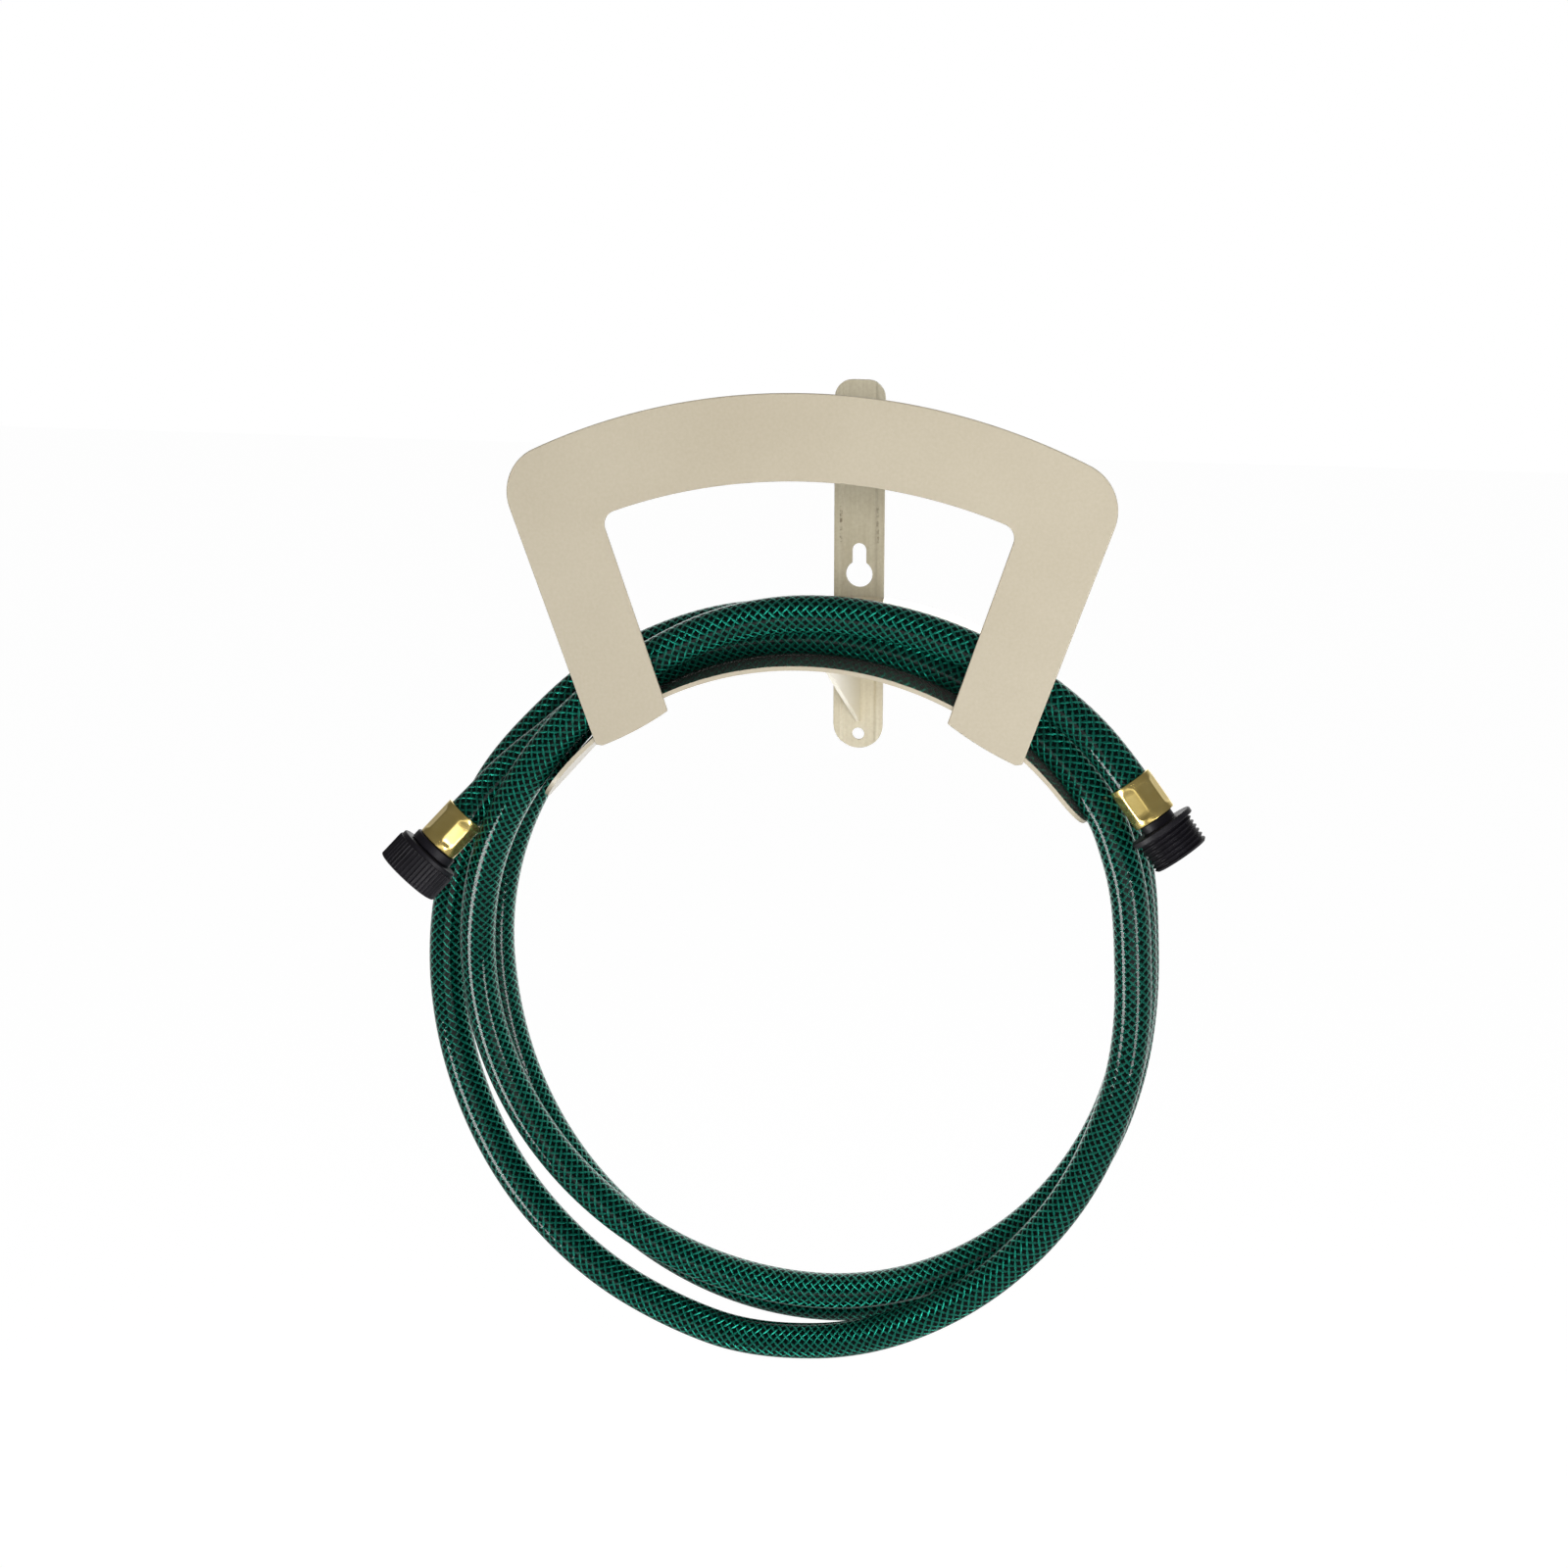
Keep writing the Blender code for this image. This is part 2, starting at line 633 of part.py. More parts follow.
def barbs():
    """Profile of the barbed stem inside the hose, from its tip to the ferrule's outer end."""
    start = FERRULE_LENGTH - STEM_LENGTH
    points = [(STEM_BORE / 2, start)]
    for i in range(BARB_COUNT):
        at = start + i * BARB_PITCH
        points.append((STEM_ROOT_RADIUS, at))
        points.append((BARB_RADIUS, at + BARB_RISE))
        points.append((BARB_RADIUS, at + BARB_RISE + BARB_LAND))
    points.append((STEM_ROOT_RADIUS, start + BARB_COUNT * BARB_PITCH))
    return points


def male_fitting(end):
    """Barbed stem, neck, flange and threaded spigot in one moulding, open right through."""
    entry, out = end
    neck = FERRULE_LENGTH + SEAM
    flange = neck + MALE_NECK
    thread = flange + MALE_FLANGE
    tip = thread + MALE_THREAD
    crest = MALE_THREAD_DIAMETER / 2
    root = crest - THREAD_DEPTH
    thread_end = tip - THREAD_CHAMFER
    rings = round((thread_end - thread) / THREAD_PITCH * RINGS_PER_PITCH)
    heights = [thread + (thread_end - thread) * i / rings for i in range(rings + 1)]

    def threaded(radius, height, turn):
        if radius < crest or not thread < height < thread_end:
            return radius
        # Each ring is cut where the helix passes it, and the groove runs out near both ends
        phase = ((height - thread) / THREAD_PITCH - turn / (2 * pi)) % 1.0
        groove = abs(2 * phase - 1)
        run_out = min((height - thread) / THREAD_RUNOUT, (thread_end - height) / THREAD_RUNOUT, 1.0)
        return crest - THREAD_DEPTH * groove * run_out

    profile = barbs() + [
        (STEM_ROOT_RADIUS, neck),
        (NECK_DIAMETER / 2, neck),
        (NECK_DIAMETER / 2, flange),
        (MALE_FLANGE_DIAMETER / 2, flange),
        (MALE_FLANGE_DIAMETER / 2, thread),
    ]
    profile += [(crest, height) for height in heights]
    profile += [
        (root, tip),
        (MALE_MOUTH_DIAMETER / 2, tip),
        (MALE_MOUTH_DIAMETER / 2, tip - MALE_MOUTH_DEPTH),
        (STEM_BORE / 2, tip - MALE_MOUTH_DEPTH),
    ]
    moulding = turned(profile, FITTING_SIDES, threaded)
    return make_object("male_fitting", moulding, BLACK_PLASTIC, along_axis(entry, out))


def female_stem(end):
    """Barbed stem, collar and neck, with the flange inside the nut that holds it."""
    entry, out = end
    collar = FERRULE_LENGTH + SEAM
    profile = barbs() + [
        (STEM_ROOT_RADIUS, collar),
        (COLLAR_DIAMETER / 2, collar),
        (COLLAR_DIAMETER / 2, collar + COLLAR),
        (NECK_DIAMETER / 2, collar + COLLAR),
        (NECK_DIAMETER / 2, SEAT_FLANGE_START),
        (SEAT_FLANGE_DIAMETER / 2, SEAT_FLANGE_START),
        (SEAT_FLANGE_DIAMETER / 2, SEAT_FLANGE_START + SEAT_FLANGE),
        (STEM_BORE / 2, SEAT_FLANGE_START + SEAT_FLANGE),
    ]
    stem = turned(profile, FITTING_SIDES)
    return make_object("female_stem", stem, BLACK_PLASTIC, along_axis(entry, out))


def swivel_nut(end):
    """The ribbed nut that turns on the stem's neck. Its origin is on its axis."""
    entry, out = end
    hole = NECK_DIAMETER / 2 + RUNNING_GAP
    outer = NUT_DIAMETER / 2
    shoulder = outer - NUT_SHOULDER_DROP

    def ribbed(radius, height, turn):
        if radius < outer:
            return radius
        place = turn * NUT_RIBS / (2 * pi) % 1.0
        return radius - NUT_RIB_DEPTH if place > NUT_RIB_SHARE else radius

    profile = [
        (hole, 0.0),
        (shoulder - NUT_CHAMFER, 0.0),
        (shoulder, NUT_CHAMFER),
        (shoulder, NUT_SHOULDER),
        (outer, NUT_SHOULDER + NUT_CHAMFER),
        (outer, NUT_LENGTH - NUT_CHAMFER),
        (outer - NUT_RIB_DEPTH - NUT_CHAMFER, NUT_LENGTH),
        (NUT_BORE / 2, NUT_LENGTH),
        (NUT_BORE / 2, NUT_BACK),
        (hole, NUT_BACK),
    ]
    frame = along_axis(entry + out * NUT_START, out)
    ribs = turned(profile, POINTS_PER_RIB * NUT_RIBS, ribbed)
    return make_object("swivel_nut", ribs, BLACK_PLASTIC, frame, SHARP_CRIMP)


def hose_washer(end):
    """The flat rubber ring between the stem's flange and the tap."""
    entry, out = end
    profile = [
        (WASHER_HOLE / 2, 0.0),
        (WASHER_DIAMETER / 2, 0.0),
        (WASHER_DIAMETER / 2, WASHER_THICKNESS),
        (WASHER_HOLE / 2, WASHER_THICKNESS),
    ]
    frame = along_axis(entry + out * WASHER_START, out)
    return make_object("hose_washer", turned(profile, FITTING_SIDES), RUBBER, frame)


def carry(name, origin, pieces):
    """An empty that carries the pieces which move together."""
    carrier = bpy.data.objects.new(name, None)
    bpy.context.collection.objects.link(carrier)
    carrier.location = origin
    bpy.context.view_layer.update()
    for piece in pieces:
        piece.parent = carrier
        piece.matrix_parent_inverse = carrier.matrix_world.inverted()
    return carrier


for old in list(bpy.data.objects):
    bpy.data.objects.remove(old, do_unlink=True)

front_plate()
saddle()
wall_strap()
saddle_brace()

male_end, female_end = coil_ends()
coil = [
    hose(),
    ferrule("male_ferrule", male_end),
    ferrule("female_ferrule", female_end),
    male_fitting(male_end),
    female_stem(female_end),
]
female_entry, female_out = female_end
nut_origin = female_entry + female_out * NUT_START
spin = carry("nut_spin", nut_origin, [swivel_nut(female_end), hose_washer(female_end)])
carry("hose_lift", (0.0, 0.0, SADDLE_CENTRE_Z + SEAT_REACH), coil + [spin])
print("nut origin", [round(c, 5) for c in nut_origin], "axis", [round(c, 5) for c in female_out])
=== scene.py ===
from math import atan2, cos, pi, radians, sin, sqrt

import bpy
import numpy as np
from mathutils import Matrix, Vector


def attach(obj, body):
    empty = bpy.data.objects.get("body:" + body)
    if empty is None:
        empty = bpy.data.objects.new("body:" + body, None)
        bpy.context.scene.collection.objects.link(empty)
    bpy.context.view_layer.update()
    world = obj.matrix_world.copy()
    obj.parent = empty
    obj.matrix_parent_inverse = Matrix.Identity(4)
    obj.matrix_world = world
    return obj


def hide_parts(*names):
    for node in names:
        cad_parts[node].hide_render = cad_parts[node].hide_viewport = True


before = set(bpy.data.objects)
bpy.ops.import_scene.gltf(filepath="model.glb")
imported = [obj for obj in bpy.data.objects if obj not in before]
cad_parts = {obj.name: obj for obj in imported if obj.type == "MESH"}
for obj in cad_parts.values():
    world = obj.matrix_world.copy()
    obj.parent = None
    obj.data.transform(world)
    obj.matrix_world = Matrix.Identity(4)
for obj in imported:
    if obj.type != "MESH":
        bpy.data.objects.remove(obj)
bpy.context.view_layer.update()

MM = 0.001
scene = bpy.context.scene
scene.view_settings.view_transform = "Standard"

# Viewpoint
# The hanger is seen from slightly right of its front and from above, through a 67.5 mm lens, with
# the wall plane behind it. Nothing is out of focus.
CAMERA_PLACE = Vector((0.21685637, -1.40822541, 0.36601005))
CAMERA_AIM = Vector((-0.17118968, 0.94574862, -0.27614063))

camera_data = bpy.data.cameras.new("camera")
camera_data.lens = 67.5
camera_data.sensor_width = 36.0
camera = bpy.data.objects.new("camera", camera_data)
scene.collection.objects.link(camera)
camera.location = CAMERA_PLACE
camera.rotation_euler = CAMERA_AIM.to_track_quat("-Z", "Y").to_euler()
scene.camera = camera

# Garden hose
# One length of half-inch hose: a dark green tube, a braid of thin teal yarns round it, and a clear
# glossy vinyl cover over both. It is hung over the saddle in three loose turns, and its own
# stiffness keeps the turns round below it.
HOSE_DIAMETER = 17.0 * MM
HOSE_BORE = 12.5 * MM
HOSE_SIDES = 48
HOSE_RING_SPACING = 2.5 * MM
OPEN_RINGS = 14
FERRULE_LENGTH = 19.8 * MM
SEAM = 0.3 * MM
SADDLE_CENTRE_Z = -94.0 * MM

# One row a turn, from the male end: angle in degrees from +x round the saddle's centre, reach from
# that centre and distance from the wall in millimetres. Where the hose lies on the saddle, its
# reach is the saddle's radius and half of the hose's thickness.
ON_SADDLE = 157.2
TURNS = (
    (
        (34.95, 175.9, 146.2),
        (38, 175.5, 145.1),
        (43, 175.2, 144.1),
        (52, 174.2, 143.8),
        (67, 172.4, 143.8),
        (80, 171.2, 143.8),
        (92, 170.2, 143.8),
        (103, 168.0, 143.8),
        (116, 164.0, 144.0),
        (134, 160.4, 144.2),
        (146, 159.5, 143.2),
        (185, 163.6, 128.0),
        (270, 168.9, 125.0),
    ),
    (
        (3, 150.0, 123.6),
        (33, ON_SADDLE, 122.0),
        (60, ON_SADDLE, 116.6),
        (90, ON_SADDLE, 111.8),
        (140, ON_SADDLE, 107.6),
        (185, 159.8, 108.8),
        (270, 184.1, 107.0),
    ),
    (
        (3, 150.0, 105.8),
        (33, ON_SADDLE, 103.6),
        (60, ON_SADDLE, 98.4),
        (90, ON_SADDLE, 93.3),
        (110, 161.2, 91.5),
        (120, 163.4, 90.5),
        (135, 168.3, 93.0),
        (142, 170.3, 95.0),
        (156, 177.0, 98.0),
        (168, 181.5, 101.0),
        (185, 186.0, 107.0),
        (205, 191.0, 114.0),
        (225, 196.5, 119.0),
        (242, 199.3, 122.0),
        (255, 199.0, 125.5),
        (270, 193.0, 131.0),
        (290, 178.5, 139.8),
        (315, 163.0, 142.0),
        (340, 152.5, 142.0),
    ),
    (
        (3, 148.8, 141.8),
        (24, 154.6, 141.2),
        (33, ON_SADDLE, 140.2),
        (60, ON_SADDLE, 134.6),
        (90, ON_SADDLE, 129.8),
        (110, ON_SADDLE, 127.3),
        (125, ON_SADDLE, 126.0),
        (133, 159.8, 125.5),
        (140, 162.0, 125.2),
        (147, 167.0, 125.5),
        (152, 171.4, 126.9),
        (155.9, 175.0, 128.9),
        (158.6, 178.2, 131.8),
    ),
)


def smooth(places, values, at):
    """Values between the stations, on cubic pieces that never overshoot a station."""
    widths = np.diff(places)
    rises = np.diff(values) / widths
    slopes = np.zeros(len(places))
    slopes[[0, -1]] = rises[[0, -1]]
    for i in range(1, len(places) - 1):
        if rises[i - 1] * rises[i] > 0:
            first = 2 * widths[i] + widths[i - 1]
            second = widths[i] + 2 * widths[i - 1]
            slopes[i] = (first + second) / (first / rises[i - 1] + second / rises[i])
    i = np.clip(np.searchsorted(places, at) - 1, 0, len(places) - 2)
    s = (at - places[i]) / widths[i]
    start = (1 + 2 * s) * (1 - s) ** 2 * values[i] + s * (1 - s) ** 2 * widths[i] * slopes[i]
    return start + s**2 * (3 - 2 * s) * values[i + 1] + s**2 * (s - 1) * widths[i] * slopes[i + 1]


stations = [
    (angle + 360 * turn, reach, depth)
    for turn, row in enumerate(TURNS)
    for angle, reach, depth in row
]
station_angles, station_reaches, station_depths = np.array(stations).T


def hose_centre(angles):
    """Centre line of the hose at the given running angles."""
    reach = smooth(station_angles, station_reaches, angles) * MM
    depth = smooth(station_angles, station_depths, angles) * MM
    turn = np.radians(angles)
    return np.stack([reach * np.cos(turn), -depth, SADDLE_CENTRE_Z + reach * np.sin(turn)], axis=1)


def hose_end(last, inside):
    """Where the hose enters a ferrule, and the way it points out there."""
    entry, before = hose_centre(np.array([last, last + inside]))
    return Vector(entry), Vector(entry - before).normalized()


MALE_ENTRY, MALE_OUT = hose_end(station_angles[0], 0.1)
FEMALE_ENTRY, FEMALE_OUT = hose_end(station_angles[-1], -0.1)

dense = hose_centre(np.linspace(station_angles[0], station_angles[-1], 6000))
in_ferrule = FERRULE_LENGTH - SEAM
dense = np.vstack([MALE_ENTRY + MALE_OUT * in_ferrule, dense, FEMALE_ENTRY + FEMALE_OUT * in_ferrule])
run = np.concatenate([[0.0], np.cumsum(np.linalg.norm(np.diff(dense, axis=0), axis=1))])
hose_length = run[-1]
rings = int(hose_length / HOSE_RING_SPACING)
along = np.linspace(0.0, hose_length, rings)
centre = np.stack([np.interp(along, run, dense[:, i]) for i in range(3)], axis=1)

# Each ring's frame is carried on from the one before, so that the braid doesn't twist
heading = np.gradient(centre, axis=0)
heading /= np.linalg.norm(heading, axis=1)[:, None]
side = np.zeros_like(centre)
side[0] = np.cross(heading[0], [0.0, 1.0, 0.0])
for i in range(1, rings):
    side[i] = side[i - 1] - heading[i] * side[i - 1].dot(heading[i])
    side[i] /= np.linalg.norm(side[i])
up = np.cross(heading, side)
around = np.linspace(0.0, 2 * pi, HOSE_SIDES, endpoint=False)[None, :, None]
offsets = side[:, None] * np.cos(around) + up[:, None] * np.sin(around)
skin = (centre[:, None] + offsets * HOSE_DIAMETER / 2).reshape(-1, 3).tolist()

faces = []
face_uvs = []
for i in range(rings - 1):
    this, following = i * HOSE_SIDES, (i + 1) * HOSE_SIDES
    for k in range(HOSE_SIDES):
        after = (k + 1) % HOSE_SIDES
        faces.append((this + k, this + after, following + after, following + k))
        low, high = k / HOSE_SIDES, (k + 1) / HOSE_SIDES
        face_uvs += [(along[i], low), (along[i], high), (along[i + 1], high), (along[i + 1], low)]

# Both ends are open, as far in as the couplings' bores let the eye reach
for turn, inwards in ((1, range(OPEN_RINGS)), (-1, range(rings - 1, rings - 1 - OPEN_RINGS, -1))):
    outer, reached = inwards[0] * HOSE_SIDES, along[inwards[0]]
    for ring in inwards:
        inner = len(skin)
        skin += (centre[ring] + offsets[ring] * HOSE_BORE / 2).tolist()
        for k in range(HOSE_SIDES):
            after = (k + 1) % HOSE_SIDES
            faces.append((outer + k, inner + k, inner + after, outer + after)[::turn])
            low, high = k / HOSE_SIDES, (k + 1) / HOSE_SIDES
            corners = [(reached, low), (along[ring], low), (along[ring], high), (reached, high)]
            face_uvs += corners[::turn]
        outer, reached = inner, along[ring]
    faces.append(tuple(outer + k for k in range(HOSE_SIDES))[::-turn])
    face_uvs += [(reached, 0.5)] * HOSE_SIDES

hose_mesh = bpy.data.meshes.new("hose_tube")
hose_mesh.from_pydata(skin, [], faces)
hose_mesh.uv_layers.new(name="hose_run").data.foreach_set("uv", np.array(face_uvs).ravel())
hose_mesh.shade_smooth()
hose = bpy.data.objects.new("hose_tube", hose_mesh)
scene.collection.objects.link(hose)


def linear(code):
    """An sRGB hex value as a linear colour."""
    parts = [int(code[i : i + 2], 16) / 255 for i in (1, 3, 5)]
    return (*(c / 12.92 if c <= 0.04045 else ((c + 0.055) / 1.055) ** 2.4 for c in parts), 1.0)


def add(tree, kind, links=None, values=None, **settings):
    """A node of that kind, with its settings, its inputs' values and the sockets linked to them."""
    node = tree.nodes.new(kind)
    for key, value in settings.items():
        setattr(node, key, value)
    for key, value in (values or {}).items():
        node.inputs[key].default_value = value
    for key, socket in (links or {}).items():
        tree.links.new(socket, node.inputs[key])
    return node


def new_material(name):
    """An empty material with its output, and its node tree."""
    made = bpy.data.materials.new(name)
    made.use_nodes = True
    made.node_tree.nodes.clear()
    return made, made.node_tree


def maths(tree, operation, *terms):
    """The result of one operation on numbers and sockets."""
    links = {i: t for i, t in enumerate(terms) if not isinstance(t, (int, float))}
    values = {i: t for i, t in enumerate(terms) if isinstance(t, (int, float))}
    return add(tree, "ShaderNodeMath", links, values, operation=operation).outputs[0]


def rescale(tree, value, low, high, to_low=0.0, to_high=1.0):
    """The stretch from low to high brought to another stretch, and held at its ends."""
    return add(tree, "ShaderNodeMapRange", {0: value}, {1: low, 2: high, 3: to_low, 4: to_high}).outputs[0]


def blend(tree, share, first, second):
    """A colour between two, each a colour or a socket."""
    links = {0: share}
    values = {}
    for key, colour in ((6, first), (7, second)):
        (values if isinstance(colour, tuple) else links)[key] = colour
    return add(tree, "ShaderNodeMix", links, values, data_type="RGBA").outputs[2]


def noise(tree, place, scale, detail):
    """Cloudy noise round 0.5, with that many patches a metre."""
    return add(tree, "ShaderNodeTexNoise", {0: place}, {"Scale": scale, "Detail": detail}).outputs[0]


def bump(tree, height, strength, distance, below=None):
    """A surface's tilt from a height, laid over the tilt below it."""
    links = {"Height": height} if below is None else {"Height": height, "Normal": below}
    return add(tree, "ShaderNodeBump", links, {"Strength": strength, "Distance": distance}).outputs[0]


def surface(tree, links, values):
    """The material's one shader, led to its output."""
    shader = add(tree, "ShaderNodeBsdfPrincipled", links, values)
    add(tree, "ShaderNodeOutputMaterial", {0: shader.outputs[0]})


# Clear vinyl over a braid: teal polyester yarns cross in diamonds of 4.4 by 4.2 mm over a nearly
# black tube. Each yarn is a round ridge under the cover, which makes the herringbone sheen, and the
# cover itself gives sharp white lines where it is seen at a low angle.
BRAID_YARNS = 12
BRAID_PITCH = 4.2 * MM
YARN_SHARE = 0.33

vinyl, tree = new_material("clear_vinyl_over_braid")
uv = add(tree, "ShaderNodeUVMap", uv_map="hose_run").outputs[0]
split = add(tree, "ShaderNodeSeparateXYZ", {0: uv})
lengthwise = maths(tree, "DIVIDE", split.outputs[0], BRAID_PITCH)
crosswise = maths(tree, "MULTIPLY", split.outputs[1], BRAID_YARNS)
ridges = []
counts = []
for operation in ("ADD", "SUBTRACT"):
    place = maths(tree, operation, crosswise, lengthwise)
    off = maths(tree, "ABSOLUTE", maths(tree, "SUBTRACT", maths(tree, "FRACT", place), 0.5))
    ridges.append(maths(tree, "SUBTRACT", 1.0, maths(tree, "DIVIDE", off, YARN_SHARE / 2)))
    counts.append(maths(tree, "FLOOR", place))
parity = maths(tree, "PINGPONG", maths(tree, "ADD", *counts), 1.0)
over = maths(tree, "MULTIPLY", maths(tree, "SUBTRACT", parity, 0.5), 0.5)
first = maths(tree, "ADD", ridges[0], over)
second = maths(tree, "SUBTRACT", ridges[1], over)
relief = maths(tree, "MAXIMUM", maths(tree, "MAXIMUM", first, second), 0.0)
yarn = rescale(tree, relief, 0.0, 0.35)
silky = maths(tree, "MULTIPLY", yarn, 0.9)
ply = noise(tree, uv, 900.0, 2.0)
teal = blend(tree, ply, linear("#0F6C5B"), linear("#2AA88F"))
colour = blend(tree, yarn, linear("#000A08"), teal)
under = bump(tree, relief, 1.0, 0.5 * MM)
cover = bump(tree, relief, 0.2, 0.1 * MM)
surface(
    tree,
    {"Base Color": colour, "Metallic": silky, "Normal": under, "Coat Normal": cover},
    {
        "Roughness": 0.38, "Specular IOR Level": 0.0,
        "Coat Weight": 0.5, "Coat Roughness": 0.07, "Coat IOR": 1.38,
    },
)
hose_mesh.materials.append(vinyl)

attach(hose, "hose_coil")
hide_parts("hose")

# Brass ferrules
# Each end of the hose is pushed on a barbed stem and gripped by a drawn brass sleeve, which a press
# squeezes on eight flats between two round rims. The flats end in shallow arches.
FERRULE_PROFILE = (
    (8.8, 0.0), (9.7, 0.0), (10.0, 0.15), (10.1, 0.5), (10.1, 2.2), (10.1, 2.8), (10.1, 3.4), (10.1, 4.2),
    (10.1, 6.0), (10.1, 9.9), (10.1, 13.8), (10.1, 15.6), (10.1, 16.4), (10.1, 17.0), (10.1, 17.6),
    (10.1, 19.3), (10.0, 19.65), (9.7, 19.8), (8.8, 19.8),
)
FERRULE_FLATS = 8
ACROSS_FLATS = 18.9 * MM
FERRULE_RIM = 2.2 * MM
FERRULE_BLEND = 2.0 * MM


def turned_piece(name, profile, sides):
    """A piece turned round z from (radius, height) steps in millimetres, by extruding a circle."""
    bpy.ops.object.select_all(action="DESELECT")
    radius, height = profile[0]
    bpy.ops.mesh.primitive_circle_add(vertices=sides, radius=radius * MM, location=(0.0, 0.0, height * MM))
    piece = bpy.context.object
    piece.name = name
    piece.data.transform(piece.matrix_world)
    piece.matrix_world = Matrix()
    bpy.ops.object.mode_set(mode="EDIT")
    bpy.ops.mesh.select_all(action="SELECT")
    for new_radius, new_height in profile[1:] + profile[:1]:
        rise = (0.0, 0.0, (new_height - height) * MM)
        bpy.ops.mesh.extrude_region_move(TRANSFORM_OT_translate={"value": rise})
        grow = new_radius / radius
        bpy.ops.transform.resize(value=(grow, grow, 1.0), center_override=(0.0, 0.0, new_height * MM))
        radius, height = new_radius, new_height
    bpy.ops.mesh.select_all(action="SELECT")
    bpy.ops.mesh.remove_doubles(threshold=0.01 * MM)
    bpy.ops.mesh.normals_make_consistent(inside=False)
    bpy.ops.object.mode_set(mode="OBJECT")
    return piece


def reshape(piece, move):
    """Each corner of the piece moved by a rule on its radius, height and turn round z."""
    for corner in piece.data.vertices:
        x, y, z = corner.co
        radius = sqrt(x * x + y * y)
        grown = move(radius, z, atan2(y, x)) / radius
        corner.co.x *= grown
        corner.co.y *= grown


def fit(piece, material, body, node, start=None, out=None, smooth_below=30, flat=False):
    """The finished piece set on its axis, shaded, finished and tied to the model."""
    if out is not None:
        piece.data.transform(Matrix.Translation(start) @ out.to_track_quat("Z", "Y").to_matrix().to_4x4())
    bpy.ops.object.select_all(action="DESELECT")
    piece.select_set(True)
    bpy.context.view_layer.objects.active = piece
    bpy.ops.object.shade_smooth_by_angle(angle=radians(smooth_below))
    if flat:
        weighting = piece.modifiers.new("flat_faces", "WEIGHTED_NORMAL")
        weighting.weight = 100
        weighting.keep_sharp = True
        bpy.ops.object.modifier_apply(modifier=weighting.name)
    piece.data.materials.clear()
    piece.data.materials.append(material)
    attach(piece, body)
    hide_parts(node)
    return piece


def crimp(radius, height, turn):
    """The sleeve's outside pressed in to the flats, with arches at both ends of each flat."""
    if radius < 9.6 * MM:
        return radius
    pitch = 2 * pi / FERRULE_FLATS
    off = (turn + pitch / 2) % pitch - pitch / 2
    arch = 1.3 * MM * (2 * off / pitch) ** 2
    rim = FERRULE_RIM + arch
    near = (height - rim) / FERRULE_BLEND
    far = (FERRULE_LENGTH - rim - height) / FERRULE_BLEND
    share = min(max(min(near, far), 0.0), 1.0)
    share = share * share * (3 - 2 * share)
    return radius - share * max(0.0, radius - ACROSS_FLATS / 2 / cos(off))


# Drawn brass, tumbled bright: a warm yellow mirror, slightly wavy from the draw and softened a
# little by the fine dents of the tumbling
brass, tree = new_material("drawn_brass")
place = add(tree, "ShaderNodeTexCoord").outputs["Object"]
blur = noise(tree, place, 160.0, 3.0)
fine = noise(tree, place, 1500.0, 2.0)
tint = blend(tree, blur, linear("#D0B463"), linear("#E2CD86"))
dull = rescale(tree, blur, 0.0, 1.0, 0.18, 0.30)
wavy = bump(tree, blur, 0.12, 0.10 * MM)
pitted = bump(tree, fine, 0.03, 0.02 * MM, below=wavy)
surface(tree, {"Base Color": tint, "Roughness": dull, "Normal": pitted}, {"Metallic": 0.88})

for end, entry, out in (("male", MALE_ENTRY, MALE_OUT), ("female", FEMALE_ENTRY, FEMALE_OUT)):
    sleeve = turned_piece(end + "_ferrule_sleeve", FERRULE_PROFILE, 96)
    reshape(sleeve, crimp)
    fit(sleeve, brass, "hose_coil", end + "_ferrule", entry, out)

# Male coupling
# One moulding of black plastic: barbed stem, neck, a round flange and a spigot with a 3/4 inch garden
# hose thread. The thread has 2.2 mm of pitch and runs out before the flange and at the chamfer.
# Its steps, like the female stem's, are radius and height in millimetres from the ferrule's mouth.
BARBED_STEM = (
    (4.25, 1.5), (5.25, 1.5), (5.95, 5.9), (5.95, 6.5), (5.25, 7.3), (5.95, 11.7), (5.95, 12.3),
    (5.25, 13.1), (5.95, 17.5), (5.95, 18.1), (5.25, 18.9),
)
MALE_NECK_START = 20.1
MALE_FLANGE_START = 23.9
MALE_THREAD_START = 26.5
MALE_THREAD_END = 39.4
MALE_TIP = 40.4
MALE_CREST = 13.45
THREAD_PITCH = 2.209
THREAD_DEPTH = 1.15
THREAD_RINGS = 12

male_profile = [
    *BARBED_STEM, (5.25, MALE_NECK_START), (7.6, MALE_NECK_START), (8.0, MALE_NECK_START + 0.3),
    (8.0, MALE_FLANGE_START - 0.4), (8.4, MALE_FLANGE_START), (14.8, MALE_FLANGE_START),
    (15.2, MALE_FLANGE_START + 0.4), (15.2, MALE_THREAD_START - 0.3), (14.9, MALE_THREAD_START),
]
thread_length = MALE_THREAD_END - MALE_THREAD_START
thread_rows = int(thread_length / THREAD_PITCH * THREAD_RINGS)
for i in range(thread_rows + 1):
    male_profile.append((MALE_CREST, MALE_THREAD_START + 0.02 + thread_length * i / thread_rows))
male_profile += [(12.5, MALE_TIP), (9.3, MALE_TIP), (9.0, MALE_TIP - 0.3), (9.0, 31.4), (4.25, 31.4)]


